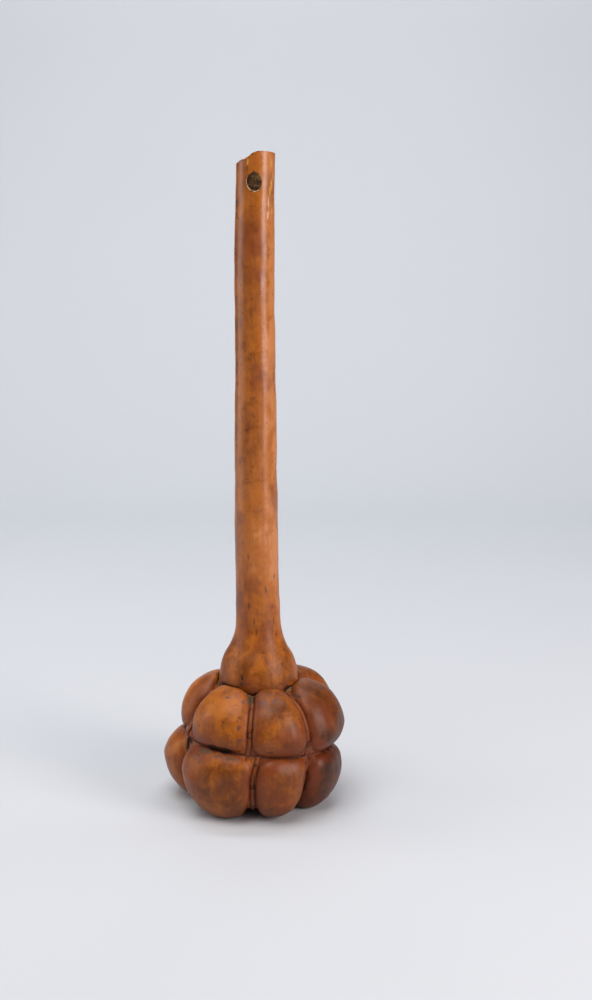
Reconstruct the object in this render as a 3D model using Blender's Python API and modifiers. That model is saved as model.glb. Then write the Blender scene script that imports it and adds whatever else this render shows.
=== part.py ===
"""A dried bottle gourd that was tied with cords while it grew, so its body swelled into two tiers of lobes.

The gourd is one piece: a thin woody rind round a hollow, which opens at the cut end of the long neck and at
a hanging hole just below it. It stands at z = 0 on the worn undersides of its lower lobes, with the origin
in the middle of its footprint. The neck rises along +Z, and the hanging hole faces -Y. An azimuth is
measured from -Y towards +X. Lengths are in metres.
"""

import math
from collections import namedtuple

import bmesh
import bpy
from mathutils import Vector

# Driving dimensions
HEIGHT = 0.6009  # floor to the highest point of the cut rim
NECK_WALL = 0.0030
BODY_WALL = 0.0046
NECK_FOOT = 0.165  # below this height the neck flares into the shoulder bulb
NECK_AT = (0.0041, -0.0027, 0.0)  # the neck rises a little to one side of the footprint's middle

# Mesh density
STEM_STEPS = 28
CAVITY_STEPS = 16
LOBE_SEGMENTS = 20
LOBE_RINGS = 14
CAVITY_LOBE_SEGMENTS = 12
CAVITY_LOBE_RINGS = 8
POINTS_PER_SPAN = 2  # profile points for each span between two control points

# The stem's turned outline, as (radius, height) from the cut end down. It takes in the neck, the shoulder
# bulb, and the core that fills the body between the lobes and shows as the narrow floor of each groove.
STEM_OUTLINE = (
    (0.0169, HEIGHT),
    (0.0171, 0.560),
    (0.0177, 0.510),
    (0.0181, 0.430),
    (0.0191, 0.345),
    (0.0197, 0.280),
    (0.0200, 0.220),
    (0.0208, 0.178),
    (0.0222, NECK_FOOT),
    (0.0262, 0.1525),
    (0.0320, 0.1420),
    (0.0357, 0.1310),
    (0.0368, 0.1210),
    (0.0372, 0.1145),
    (0.0450, 0.1085),
    (0.0580, 0.0970),
    (0.0655, 0.0800),
    (0.0690, 0.0620),
    (0.0670, 0.0440),
    (0.0610, 0.0270),
    (0.0500, 0.0140),
    (0.0300, 0.0090),
    (0.0130, 0.0115),
    (0.0, 0.0125),
)

# How far the neck's centre line wanders, as (height, x, y)
NECK_SWAY = (
    (NECK_FOOT, 0.0, 0.0),
    (0.225, -0.0010, 0.0008),
    (0.345, -0.0015, 0.0022),
    (0.440, -0.0013, 0.0024),
    (0.515, -0.0018, 0.0014),
    (0.565, -0.0006, 0.0006),
    (HEIGHT, -0.0002, 0.0),
)

# The height of the cut rim, as (azimuth in degrees, height). One side was cut lower than the other.
RIM = (
    (-90, 0.5915),
    (-42, 0.5938),
    (-22, 0.5958),
    (-5, 0.5995),
    (21, HEIGHT),
    (70, 0.6002),
    (100, 0.5990),
    (150, 0.5996),
    (195, 0.5972),
    (235, 0.5932),
)
RIM_ZONE = 0.012  # the rim's shape fades out this far below the end

# A lobe is a pillow that fills a wedge of the body. It spreads half_angle degrees to each side of its
# azimuth, runs from bottom to top, is fattest at LOBE_ROOT from its tier's axis, and reaches out to peak.
Lobe = namedtuple("Lobe", "azimuth half_angle bottom top peak")
LOBE_ROOT = 0.045
# How full a pillow is. 2 throughout would make it an ellipsoid, and more makes it fuller.
CORNERS = 3.2  # of the outline that it shows from outside
SHOULDERS = 2.5  # of its front, out to its edges
DOME = 2.3  # of its front, up to its peak
WEAR = 0.0004  # how far below the floor the lobes that stand on it would reach, if they weren't worn flat
UPPER_AXIS = (0.0030, 0.0)
UPPER_TIER = (
    Lobe(-40.5, 36.0, 0.0535, 0.1165, 0.0790),
    Lobe(16.0, 29.5, 0.0535, 0.1165, 0.0790),
    Lobe(72.5, 35.5, 0.0525, 0.1150, 0.0790),
    Lobe(132.5, 33.0, 0.0535, 0.1190, 0.0800),
    Lobe(192.5, 36.0, 0.0535, 0.1180, 0.0795),
    Lobe(256.0, 36.5, 0.0530, 0.1130, 0.0775),
)
LOWER_AXIS = (-0.0046, 0.0)
LOWER_TIER = (
    Lobe(-38.0, 41.5, -WEAR, 0.0705, 0.0822),
    Lobe(23.5, 28.0, 0.0060, 0.0705, 0.0805),
    Lobe(74.5, 32.0, -WEAR, 0.0700, 0.0830),
    Lobe(131.0, 33.5, -WEAR, 0.0700, 0.0835),
    Lobe(191.0, 36.0, -WEAR, 0.0700, 0.0835),
    Lobe(255.0, 37.0, 0.0050, 0.0720, 0.0852),
)
FLOOR_BLOCK = (0.4, 0.4, 0.1)  # the block that wears the lobes flat, with its top on the floor

# The hanging hole, through the neck's front wall. It is cut with a plug that runs from front to back.
HOLE_AT = (-0.0008, -0.0137, 0.5751)
HOLE_SIZE = (0.0130, 0.0130, 0.0152)
HOLE_SIDES = 14
HOLE_FLARE = 0.09  # the share by which it is wider at its outer end, and narrower at its inner end
HOLE_POINT = 0.10  # how far its -X side is drawn out to a blunt point, as a share of its half-width

RIND_COLOUR = (0.36, 0.13, 0.03, 1.0)
RIND_ROUGHNESS = 0.38


def clear_scene():
    for item in list(bpy.data.objects):
        bpy.data.objects.remove(item)


def collection(name):
    made = bpy.data.collections.new(name)
    bpy.context.scene.collection.children.link(made)
    return made


def add_object(name, mesh, group, holder=None):
    made = bpy.data.objects.new(name, mesh)
    made.parent = holder
    group.objects.link(made)
    return made


def hide_helper(helper):
    helper.hide_render = True
    helper.display_type = "WIRE"


def finish_mesh(name, shape):
    """Turns a bmesh into a smooth mesh whose faces all point outwards, and frees it."""
    shape.normal_update()
    bmesh.ops.recalc_face_normals(shape, faces=shape.faces)
    mesh = bpy.data.meshes.new(name)
    shape.to_mesh(mesh)
    shape.free()
    mesh.shade_smooth()
    return mesh


def catmull_rom(before, start, end, after, t):
    """The point a share t of the way along the smooth curve from start to end."""
    return 0.5 * (
        2 * start
        + (end - before) * t
        + (2 * before - 5 * start + 4 * end - after) * t**2
        + (3 * start - before - 3 * end + after) * t**3
    )


def smooth_outline(points):
    """Runs one smooth curve through the control points of an outline."""
    points = [Vector(point) for point in points]
    ends = [2 * points[0] - points[1], *points, 2 * points[-1] - points[-2]]
    path = [
        catmull_rom(*ends[i : i + 4], step / POINTS_PER_SPAN)
        for i in range(len(points) - 1)
        for step in range(POINTS_PER_SPAN)
    ]
    return [*path, points[-1]]


def smooth_value(table, at, column):
    """Reads a column of a table at any key, along a smooth curve. Past its ends it keeps its end values."""
    if at <= table[0][0]:
        return table[0][column]
    for i in range(len(table) - 1):
        start, end = table[i], table[i + 1]
        if at <= end[0]:
            before, after = table[max(i - 1, 0)], table[min(i + 2, len(table) - 1)]
            values = (row[column] for row in (before, start, end, after))
            return catmull_rom(*values, (at - start[0]) / (end[0] - start[0]))
    return table[-1][column]


def rim_height(azimuth):
    """The cut rim's height at an azimuth in degrees. The table runs on for a turn each way, so it closes."""
    turns = [(key + 360 * turn, height) for turn in (-1, 0, 1) for key, height in RIM]
    return smooth_value(turns, azimuth, 1)


def sway(point):
    """Moves a point of a straight stem onto the neck's wandering centre line, and its end onto the rim."""
    azimuth = math.degrees(math.atan2(point.x, -point.y))
    share = min(1.0, max(0.0, 1 - (HEIGHT - point.z) / RIM_ZONE))
    lift = (rim_height(azimuth) - HEIGHT) * share
    return point + Vector((smooth_value(NECK_SWAY, point.z, 1), smooth_value(NECK_SWAY, point.z, 2), lift))


def turned_mesh(name, outline, steps):
    """A closed solid of revolution about Z. Its outline of (radius, height) runs down to the axis."""
    profile = bpy.data.meshes.new(name + "_profile")
    corners = [(radius, 0.0, height) for radius, height in outline]
    corners.insert(0, (0.0, 0.0, outline[0][1]))
    profile.from_pydata(corners, [(i, i + 1) for i in range(len(corners) - 1)], [])
    lathe = bpy.data.objects.new(name + "_lathe", profile)
    bpy.context.scene.collection.objects.link(lathe)
    screw = lathe.modifiers.new("Screw", "SCREW")
    screw.steps = screw.render_steps = steps
    screw.use_merge_vertices = True
    screw.merge_threshold = 0.00002
    graph = bpy.context.evaluated_depsgraph_get()
    mesh = bpy.data.meshes.new_from_object(lathe.evaluated_get(graph))
    mesh.name = name
    bpy.data.objects.remove(lathe)
    return mesh


def stem_mesh(name, outline, steps):
    mesh = turned_mesh(name, outline, steps)
    for vertex in mesh.vertices:
        vertex.co = sway(vertex.co)
    mesh.shade_smooth()
    return mesh


def cavity_outline(outline):
    """The stem's outline, taken in by the rind's thickness, and carried on through the cut end."""
    inner = []
    for i, point in enumerate(outline[:-1]):
        along = outline[i + 1] - outline[max(i - 1, 0)]
        inwards = Vector((along.y, -along.x)).normalized()
        inner.append(point + inwards * (NECK_WALL if point.y > NECK_FOOT else BODY_WALL))
    past_end = inner[0] + Vector((0.0, 0.02))
    return [past_end, *inner, outline[-1] + Vector((0.0, BODY_WALL))]


def pillow_size(sideways, upward, outward):
    """How far a ray in this direction runs before it leaves the pillow with half-sizes of 1."""
    face = (abs(sideways) ** CORNERS + abs(upward) ** CORNERS) ** (1 / CORNERS)
    inside, outside = 0.0, 2.0
    for _ in range(24):
        middle = (inside + outside) / 2
        fill = (face * middle) ** SHOULDERS + (abs(outward) * middle) ** DOME
        inside, outside = (middle, outside) if fill < 1 else (inside, middle)
    return inside


def lobe_mesh(name, lobe, axis, inset, segments, rings):
    """One lobe, taken in by inset. The sphere's poles point sideways, into the lobes beside it."""
    shape = bmesh.new()
    bmesh.ops.create_uvsphere(shape, u_segments=segments, v_segments=rings, radius=1.0)
    half_angle = math.radians(lobe.half_angle) - inset / LOBE_ROOT
    middle = (lobe.bottom + lobe.top) / 2
    for vertex in shape.verts:
        upward, outward, sideways = vertex.co.normalized()
        size = pillow_size(sideways, upward, outward)
        azimuth = math.radians(lobe.azimuth) + sideways * size * half_angle
        radius = LOBE_ROOT + outward * size * (lobe.peak - LOBE_ROOT - inset)
        height = middle + upward * size * (lobe.top - middle - inset)
        vertex.co = (axis[0] + radius * math.sin(azimuth), axis[1] - radius * math.cos(azimuth), height)
    return finish_mesh(name, shape)


def add_lobes(name, group, holder, inset, segments, rings):
    """Both tiers of lobes, as helpers for a Boolean."""
    for tier, axis, lobes in (("upper", UPPER_AXIS, UPPER_TIER), ("lower", LOWER_AXIS, LOWER_TIER)):
        for number, lobe in enumerate(lobes, 1):
            label = f"{name}_{tier}_{number}"
            mesh = lobe_mesh(label, lobe, axis, inset, segments, rings)
            hide_helper(add_object(label, mesh, group, holder))


def floor_mesh():
    """A block with its top at z = 0."""
    shape = bmesh.new()
    bmesh.ops.create_cube(shape, size=1.0)
    for vertex in shape.verts:
        x, y, z = vertex.co
        vertex.co = (x * FLOOR_BLOCK[0], y * FLOOR_BLOCK[1], (z - 0.5) * FLOOR_BLOCK[2])
    return finish_mesh("floor_cutter", shape)


def hole_mesh():
    """The plug that cuts the hanging hole, from in front of the neck to its hollow."""
    shape = bmesh.new()
    inner, outer = 0.5 * (1 - HOLE_FLARE), 0.5 * (1 + HOLE_FLARE)
    bmesh.ops.create_cone(
        shape, cap_ends=True, segments=HOLE_SIDES, radius1=inner, radius2=outer, depth=1.0
    )
    for vertex in shape.verts:
        across, upward, forward = vertex.co
        drawn_out = 1 + HOLE_POINT * max(0.0, -2 * across) * (1 - abs(2 * upward))
        offset = (across * drawn_out * HOLE_SIZE[0], -forward * HOLE_SIZE[1], upward * HOLE_SIZE[2])
        vertex.co = Vector(HOLE_AT) + Vector(offset)
    return finish_mesh("hole_cutter", shape)


def add_boolean(target, operation, tool):
    """Joins or cuts target with one object, or with all the objects of a collection."""
    step = target.modifiers.new(f"{operation}_{tool.name}", "BOOLEAN")
    step.operation = operation
    step.solver = "EXACT"
    if isinstance(tool, bpy.types.Collection):
        step.operand_type = "COLLECTION"
        step.collection = tool
    else:
        step.object = tool


def rind_material():
    made = bpy.data.materials.new("polished_rind")
    made.use_nodes = True
    shader = made.node_tree.nodes["Principled BSDF"]
    shader.inputs["Base Color"].default_value = RIND_COLOUR
    shader.inputs["Roughness"].default_value = RIND_ROUGHNESS
    shader.inputs["Metallic"].default_value = 0.0
    return made


def build_gourd():
    parts = collection("dried_bottle_gourd")
    cutters = collection("cutters")
    lobes = collection("lobes")
    cavity_lobes = collection("cavity_lobes")
    neck_axis = add_object("neck_axis", None, parts)
    neck_axis.location = NECK_AT

    outline = smooth_outline(STEM_OUTLINE)
    gourd = add_object("gourd", stem_mesh("gourd", outline, STEM_STEPS), parts, neck_axis)
    gourd.data.materials.append(rind_material())
    add_lobes("lobe", lobes, neck_axis, 0.0, LOBE_SEGMENTS, LOBE_RINGS)
    add_boolean(gourd, "UNION", lobes)

    cavity_mesh = stem_mesh("cavity", cavity_outline(outline), CAVITY_STEPS)
    for mesh in (cavity_mesh, hole_mesh(), floor_mesh()):
        cutter = add_object(mesh.name, mesh, cutters, neck_axis)
        hide_helper(cutter)
        add_boolean(gourd, "DIFFERENCE", cutter)
    add_lobes("cavity_lobe", cavity_lobes, neck_axis, BODY_WALL, CAVITY_LOBE_SEGMENTS, CAVITY_LOBE_RINGS)
    add_boolean(cutters.objects["cavity"], "UNION", cavity_lobes)


clear_scene()
build_gourd()
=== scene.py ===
"""The looks of a dried, bound bottle gourd: a fine rind mesh, its materials and a plain studio.

The gourd grew tied with cords, which pressed two tiers of six lobes into its body. Its neck is
cut open at the top and has a hanging hole. One closed mesh holds the outer skin, the cut rim and
the hollow inside, as rings of points that run from the underside up to the rim and back down.
"""

import math

import bpy
import numpy as np
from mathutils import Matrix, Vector, noise


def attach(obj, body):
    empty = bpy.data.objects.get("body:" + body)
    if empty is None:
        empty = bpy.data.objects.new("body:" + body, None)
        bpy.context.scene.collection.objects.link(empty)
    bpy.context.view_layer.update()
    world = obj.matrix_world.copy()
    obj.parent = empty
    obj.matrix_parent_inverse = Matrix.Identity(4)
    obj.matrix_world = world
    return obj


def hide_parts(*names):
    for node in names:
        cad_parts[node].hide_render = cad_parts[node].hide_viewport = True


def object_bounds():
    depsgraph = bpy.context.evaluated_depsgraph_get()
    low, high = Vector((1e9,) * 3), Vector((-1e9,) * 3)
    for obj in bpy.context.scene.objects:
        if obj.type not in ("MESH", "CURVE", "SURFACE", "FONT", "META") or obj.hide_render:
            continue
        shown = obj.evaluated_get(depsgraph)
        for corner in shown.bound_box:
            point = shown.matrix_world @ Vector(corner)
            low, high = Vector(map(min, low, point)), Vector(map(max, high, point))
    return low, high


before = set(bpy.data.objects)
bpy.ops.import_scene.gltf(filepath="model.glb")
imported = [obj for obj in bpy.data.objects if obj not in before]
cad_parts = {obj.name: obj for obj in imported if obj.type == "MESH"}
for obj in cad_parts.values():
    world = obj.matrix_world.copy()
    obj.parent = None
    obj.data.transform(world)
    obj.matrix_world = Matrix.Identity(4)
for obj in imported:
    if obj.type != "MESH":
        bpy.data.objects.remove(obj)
CAD_LOW, CAD_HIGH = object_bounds()

# ---------------------------------------------------------------- driving dimensions, metres
HEIGHT = CAD_HIGH[2]
NECK_AT = np.array((0.0041, -0.0027))  # where the neck's axis stands
NECK_FOOT = 0.165  # height at which the bulb ends and the neck begins
NECK_WALL = 0.0030
BODY_WALL = 0.0046
CREASE = 0.1145  # height of the crease between the bulb and the lobes
CREASE_WAVES = (0.0012, 0.0034)  # how far it rises over the middle of a lobe, and dips from there
CREASE_DEPTH = 0.0010
CREASE_HALF = (0.0012, 0.0014)  # how far its hollow spreads down the lobes and up the bulb
CREASE_FADE = (0.014, 0.016)  # how far down the lobes and up the bulb its waves fade out

# Radius and height of the stem's outline, from the rim down to the crease above the lobes.
STEM_OUTLINE = (
    (0.0169, HEIGHT),
    (0.0171, 0.560),
    (0.0177, 0.510),
    (0.0181, 0.430),
    (0.0191, 0.345),
    (0.0197, 0.280),
    (0.0200, 0.220),
    (0.0208, 0.178),
    (0.0222, NECK_FOOT),
    (0.0262, 0.1525),
    (0.0320, 0.1420),
    (0.0357, 0.1310),
    (0.0370, 0.1210),
    (0.0372, CREASE),
)

# Height and sideways offsets of the neck's axis.
NECK_SWAY = (
    (NECK_FOOT, 0.0, 0.0),
    (0.225, -0.0010, 0.0008),
    (0.345, -0.0015, 0.0022),
    (0.440, -0.0013, 0.0024),
    (0.515, -0.0018, 0.0014),
    (0.565, -0.0006, 0.0006),
    (HEIGHT, -0.0002, 0.0),
)

# Azimuth in degrees and height of the cut rim. Azimuth 0 faces the camera, 90 is to its right.
RIM = (
    (-90, 0.5900),
    (-42, 0.5930),
    (-22, 0.5958),
    (-5, 0.5995),
    (21, HEIGHT),
    (70, 0.5994),
    (100, 0.5980),
    (150, 0.5996),
    (195, 0.5972),
    (235, 0.5932),
)
RIM_ZONE = 0.012  # the rim's shape fades out this far below the end

# Radius and height of the body's core, and the direction in degrees above level in which the
# lobes swell out of it, from the crease under the bulb to the middle of the underside.
BODY_CORE = (
    (0.0366, CREASE, 90),
    (0.0450, 0.1085, 74),
    (0.0580, 0.0970, 46),
    (0.0656, 0.0800, 18),
    (0.0682, 0.0620, 0),
    (0.0664, 0.0440, -12),
    (0.0615, 0.0270, -32),
    (0.0500, 0.0140, -60),
    (0.0300, 0.0090, -84),
    (0.0130, 0.0115, -90),
    (0.0, 0.0125, -90),
)
CORE_AXIS = ((0.0, 0.0), (0.020, 0.0030), (0.050, 0.0030), (0.080, -0.0046), (0.200, -0.0046))

# Places along the core are measured from the crease, down around the body.
GROOVE_HALF = 0.0021  # half the width of an upright groove's floor
WAIST_HALF = 0.0006  # half the width of the floor between the tiers
WAIST = 0.0635  # where along the core the groove between the tiers runs
WAIST_TILT = (0.0058, -0.0047)  # how much further along it runs at the right, and at the front
UPPER_START = 0.0006  # where along the core the upper lobes begin
UNDERSIDE_END = 0.1520  # and where the lower ones end
UPPER_MIDDLE = 0.47  # an upper lobe is fullest at this share of the way to the waist
LOWER_MIDDLE = 0.028  # and a lower one this far past it
GROOVES_FADE = (0.125, 0.150)  # where along the core the upright grooves run out, under the gourd
LEAST_REACH = 0.004  # grooves get no narrower as angles inside this radius

# Each row is a cord groove and the lobe that follows it: the groove's azimuth in degrees, how
# tightly the rind is pressed there (0 is an open valley, 1 a slot), how high its floor lies over
# the core, the lobe's height, how far the lobe stays off the ground, and its tone from dark
# brown (0) to bright orange (1).
UPPER_TIER = (
    (-72.0, 0.10, 0.0010, 0.0140, 0.0, 0.78),
    (-7.8, 0.70, 0.0074, 0.0140, 0.0, 0.53),
    (38.5, 0.60, 0.0044, 0.0146, 0.0, 0.33),
    (104.0, 0.20, 0.0020, 0.0154, 0.0, 0.62),
    (161.0, 0.45, 0.0040, 0.0152, 0.0, 0.58),
    (224.0, 0.40, 0.0030, 0.0148, 0.0, 0.76),
)
LOWER_TIER = (
    (-67.0, 0.10, 0.0010, 0.0184, 0.0, 0.60),
    (0.3, 0.62, 0.0066, 0.0172, 0.0060, 0.47),
    (42.5, 0.55, 0.0044, 0.0198, 0.0, 0.05),
    (102.0, 0.30, 0.0040, 0.0204, 0.0, 0.40),
    (160.0, 0.45, 0.0060, 0.0204, 0.0, 0.48),
    (222.0, 0.30, 0.0030, 0.0204, 0.0040, 0.64),
)
PRESS, FLOOR, PEAK, LIFT, TONE = range(1, 6)  # the columns after the azimuth

# How much squarer a lobe's outline gets in a tight groove, and how steep its end is, 0 to 1: for the
# half of the lobe above its middle, then for the half below.
UPPER_EDGES = ((2.2, 0.75), (4.5, 0.55))
LOWER_EDGES = ((3.5, 0.30), (0.0, 0.0))
LOBE_CORNERS = 2.4  # 2 would make an open groove's lobe round, and more makes it squarer
UNDERSIDE_TAPER = 0.13  # how much narrower the lower lobes get toward the underside

# A lobe's face is a mix of two pillows, each (1 - distance ** first) ** second. The blunt one's share
# is BLUNT_LEAST on an open side and BLUNT_RANGE more on a steep one.
ROUNDED = (2.2, 0.82)
BLUNT = (10, 0.5)
BLUNT_LEAST = 0.10
BLUNT_RANGE = 0.32

WAIST_FLOOR = 0.0040  # height of the floor between the tiers over the core, at the front
WAIST_FLOOR_BACK = 0.25  # and the share of it that is left at the back
WAIST_FLOOR_SIDE = -10  # the azimuth at which it is fullest
FLOOR_CURVE = (3, 1.7)  # how late the floors of the upper and lower grooves meet it
WAIST_OFFSET = 0.0016  # shifts the cord's print out of the narrow floor between the tiers

# The cord's print along a groove: a low ridge between two fine lines.
RIDGE_HEIGHT = 0.0007
RIDGE_HALF = 0.0016
LINE_DEPTH = 0.0005
LINE_AT = 0.0021
LINE_HALF = 0.0005

INNER_RELIEF = 0.75  # how much of the lobes' swelling shows on the hollow's side
WEAR_ZONE = 0.010  # below this height the underside is worn flat
WEAR_EASE = 0.0005  # how softly the flat begins
WEAR_SINK = 0.00005  # how far below the ground the flat may lie

# Tones of the stem and of the grooves' floors, and what changes them.
STEM_TONE = 0.75
GROOVE_TONE = 0.75 * STEM_TONE
# painted shade toward each lobe's lower end
SHADED_FOOT = 0.22  # how much darker a lobe gets toward its lower end
EDGE_BLEND = (0.006, 0.008)  # how far from a groove and from the crease a lobe has its own tone
WORN_AND_LIT_SIDE = (62, 34)  # azimuth and spread in degrees of the side where the neck is lighter, partly worn and partly painted light from the lamp on that side
WORN_AND_LIT_AMOUNT = 0.34
BULB_DARK_SIDE = (50, 40)  # the same for the side where the bulb is darkest
BULB_DARKER = 0.09
BULB_DARKEST = 0.13  # how much darker still that side is

# Unevenness of the grown rind: waves in a metre, reach, seed, and how far the pattern is drawn out
# along the height.
UNEVENNESS = {
    "skin": ((28, 0.0008, 1, 1), (75, 0.00035, 2, 1), (190, 0.00016, 3, 0.25)),
    "cut": ((300, 0.0003, 7, 1),),
    "inside": ((110, 0.0006, 5, 1), (420, 0.0003, 6, 1)),
}
SLOTS = {"skin": 0, "inside": 1, "cut": 2}  # the material slot of each part of the rind
SHARP_FROM = 42  # edges that turn by more than this many degrees are shaded sharp

# The hanging hole: its centre as x and height, its outline as turn in degrees from its right side
# and radius, and the side on which the skin is chipped away from its edge.
HOLE_AT = (-0.0012, 0.5751)
HOLE_OUTLINE = (
    (0, 0.0064), (45, 0.0066), (80, 0.0078), (120, 0.0070), (147, 0.0064), (180, 0.0063),
    (215, 0.0066), (250, 0.0075), (290, 0.0080), (325, 0.0072), (360, 0.0064),
)
HOLE_CHIPPED = 215
HOLE_SKIN_RADIUS = 0.0171  # of the neck's skin around it
HOLE_FRONT = -0.0230  # where its cutter starts, in front of the neck's axis
HOLE_LENGTH = 0.020
HOLE_FLARE = 0.0003  # how much wider it is at the cutter's front than at its end
HOLE_FLAKE = (0.0019, 0.0018)  # how far the skin is flaked back, and how deep the flake goes
HOLE_RAGGED = (0.0003, 4)  # reach of its edge's unevenness, and how often it comes
HOLE_RINGS = 33
HOLE_POINTS = 60

# Points in a ring. Neighbouring rings have the same number, or one has twice the other's.
BODY_COLUMNS = 480
NECK_COLUMNS = 240
INNER_COLUMNS = 120
INNER_FINE_FROM = 0.5  # above this height the bore has as many points as the neck


# ---------------------------------------------------------------- curves
def smooth_curve(points, steps=12):
    """Catmull-Rom curve through the points, ends kept."""
    p = np.array(points, float)
    p = np.vstack((2 * p[0] - p[1], p, 2 * p[-1] - p[-2]))
    t = np.linspace(0, 1, steps, endpoint=False)[:, None]
    spans = []
    for a, b, c, d in zip(p, p[1:], p[2:], p[3:]):
        spans.append(0.5 * (2 * b + (c - a) * t + (2 * a - 5 * b + 4 * c - d) * t**2
                            + (3 * b - a - 3 * c + d) * t**3))
    return np.vstack(spans + [p[-2:-1]])


def smoothstep(low, high, value):
    """Eases from 0 at low to 1 at high."""
    t = np.clip((value - low) / (high - low), 0, 1)
    return t * t * (3 - 2 * t)


STEM_CURVE = smooth_curve(STEM_OUTLINE)[::-1]
SWAY_CURVE = smooth_curve(NECK_SWAY)
RIM_CURVE = smooth_curve(((RIM[-1][0] - 360, RIM[-1][1]),) + RIM + ((RIM[0][0] + 360, RIM[0][1]),))
CORE_CURVE = smooth_curve(BODY_CORE)
CORE_LENGTH = np.concatenate(
    ([0], np.cumsum(np.hypot(np.diff(CORE_CURVE[:, 0]), np.diff(CORE_CURVE[:, 1]))))
)


def rim_height(azimuth):
    """Height of the cut rim, for azimuths carried into the rim curve's own range."""
    first = RIM[-1][0] - 360
    degrees = (azimuth - first) % 360 + first
    return np.interp(degrees, RIM_CURVE[:, 0], RIM_CURVE[:, 1])


def roughened(points, scale, amount, seed):
    """Smooth noise at each point, in metres."""
    offset = Vector((seed * 7.3, seed * 3.1, seed * 1.7))
    return amount * np.array([noise.noise(Vector(p) * scale + offset) for p in points])


# ---------------------------------------------------------------- lobes
def lobe_cells(azimuth, tier):
    """For each azimuth: the lobe's index, its half span and the offset from its middle, degrees."""
    edges = np.array([row[0] for row in tier] + [tier[0][0] + 360])
    turned = (azimuth - edges[0]) % 360 + edges[0]
    index = np.clip(np.searchsorted(edges, turned, side="right") - 1, 0, len(tier) - 1)
    half = (edges[index + 1] - edges[index]) / 2
    return index, half, turned - (edges[index] + half)


def pillow(distance, shape):
    """One of the two pillows of a lobe's face: distance runs from 0 in its middle to 1 at its edge."""
    first, second = shape
    return (1 - distance**first) ** second


def dome(s, u, corners, side, end):
    """A pillow over the cell -1 to 1. Side and end say how steep its edges are, 0 to 1."""
    across, along = np.abs(s) ** corners, np.abs(u) ** corners
    face = np.clip((across + along) ** (1 / corners), 0, 1)
    toward_end = np.abs(u) ** 4 / (np.abs(s) ** 4 + np.abs(u) ** 4 + 1e-9)
    steep = BLUNT_LEAST + BLUNT_RANGE * (side * (1 - toward_end) + end * toward_end)
    return (1 - steep) * pillow(face, ROUNDED) + steep * pillow(face, BLUNT)


def waist_length(azimuth):
    """Where along the core the cord groove between the tiers runs: it dips at right and back."""
    turn = np.radians(azimuth)
    return WAIST + WAIST_TILT[0] * np.sin(turn) + WAIST_TILT[1] * np.cos(turn)


def crease_height(azimuth):
    """Height of the crease under the bulb: it dips where the grooves between lobes meet it."""
    _, half, offset = lobe_cells(azimuth, UPPER_TIER)
    rise, dip = CREASE_WAVES
    return CREASE + rise - dip * (np.abs(offset) / half) ** 4


def crease_pinch(distance, half_width):
    """How deep the crease under the bulb presses the rind in, by distance from it."""
    return CREASE_DEPTH * np.exp(-(distance / half_width) ** 2)


def cord_print(groove):
    """The low ridge that the cord left along each groove, between two fine lines."""
    ridge = RIDGE_HEIGHT * np.clip(1 - (groove / RIDGE_HALF) ** 2, 0, 1)
    line = LINE_DEPTH * np.exp(-(((groove - LINE_AT) / LINE_HALF) ** 2))
    return ridge - line


# ---------------------------------------------------------------- body
def along_core(length, waist):
    """How far along the core a ring lies at each azimuth: it bends with the groove between the tiers."""
    above = length * waist / WAIST
    below = waist + (length - WAIST) * (UNDERSIDE_END - waist) / (UNDERSIDE_END - WAIST)
    along = np.where(length < WAIST, above, below)
    return np.where(length > UNDERSIDE_END, length, along)


def core_at(along):
    """The core's radius, height, direction of swelling in radians, and its axis's offset in x."""
    radius, height, swell = (np.interp(along, CORE_LENGTH, CORE_CURVE[:, k]) for k in range(3))
    return radius, height, np.radians(swell), np.interp(along, *zip(*CORE_AXIS))


def round_axis(axis, radius, height, azimuth):
    """Points at a radius and height around an axis that is offset in x."""
    turn = np.radians(azimuth)
    return np.stack((axis + radius * np.sin(turn), -radius * np.cos(turn), height), 1)


def across_lobe(tier, column, index, share):
    """A groove's value, carried over to the next groove's by share."""
    after = (index + 1) % len(tier)
    return tier[index, column] + (tier[after, column] - tier[index, column]) * share


def along_lobe(length, along, waist):
    """A lobe's middle, each point's place from its start (-1) to its end (1), and its edges' shape."""
    if length < WAIST:
        middle, start, end = waist * UPPER_MIDDLE, UPPER_START, waist - WAIST_HALF
        edges = UPPER_EDGES[0] if length < WAIST * UPPER_MIDDLE else UPPER_EDGES[1]
    else:
        middle, start, end = waist + LOWER_MIDDLE, waist + WAIST_HALF, UNDERSIDE_END
        edges = LOWER_EDGES[0] if length < WAIST + LOWER_MIDDLE else LOWER_EDGES[1]
    u = np.where(along < middle, (along - middle) / (middle - start), (along - middle) / (end - middle))
    return middle, u, edges


def groove_floor(floor, u, azimuth, upper, at_waist):
    """Height of the grooves' floor over the core, which at a lobe's ends meets what lies there."""
    front = smoothstep(-0.2, 0.8, np.cos(np.radians(azimuth - WAIST_FLOOR_SIDE)))
    waist_floor = WAIST_FLOOR * (WAIST_FLOOR_BACK + (1 - WAIST_FLOOR_BACK) * front)
    end = waist_floor if at_waist else 0.0
    power = FLOOR_CURVE[0] if upper else FLOOR_CURVE[1]
    return end + (floor - end) * (1 - np.clip(np.abs(u), 0, 1) ** power)


def lobe_tone(tone, groove, along, u):
    """A lobe's own tone, which turns into the grooves' at its edges, with painted shade darkening it toward
    its foot.
    """
    blend = smoothstep(0, EDGE_BLEND[0], groove) * smoothstep(0, EDGE_BLEND[1], along)
    return GROOVE_TONE + (tone - GROOVE_TONE) * blend - SHADED_FOOT * smoothstep(0.35, 0.95, u)


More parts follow.
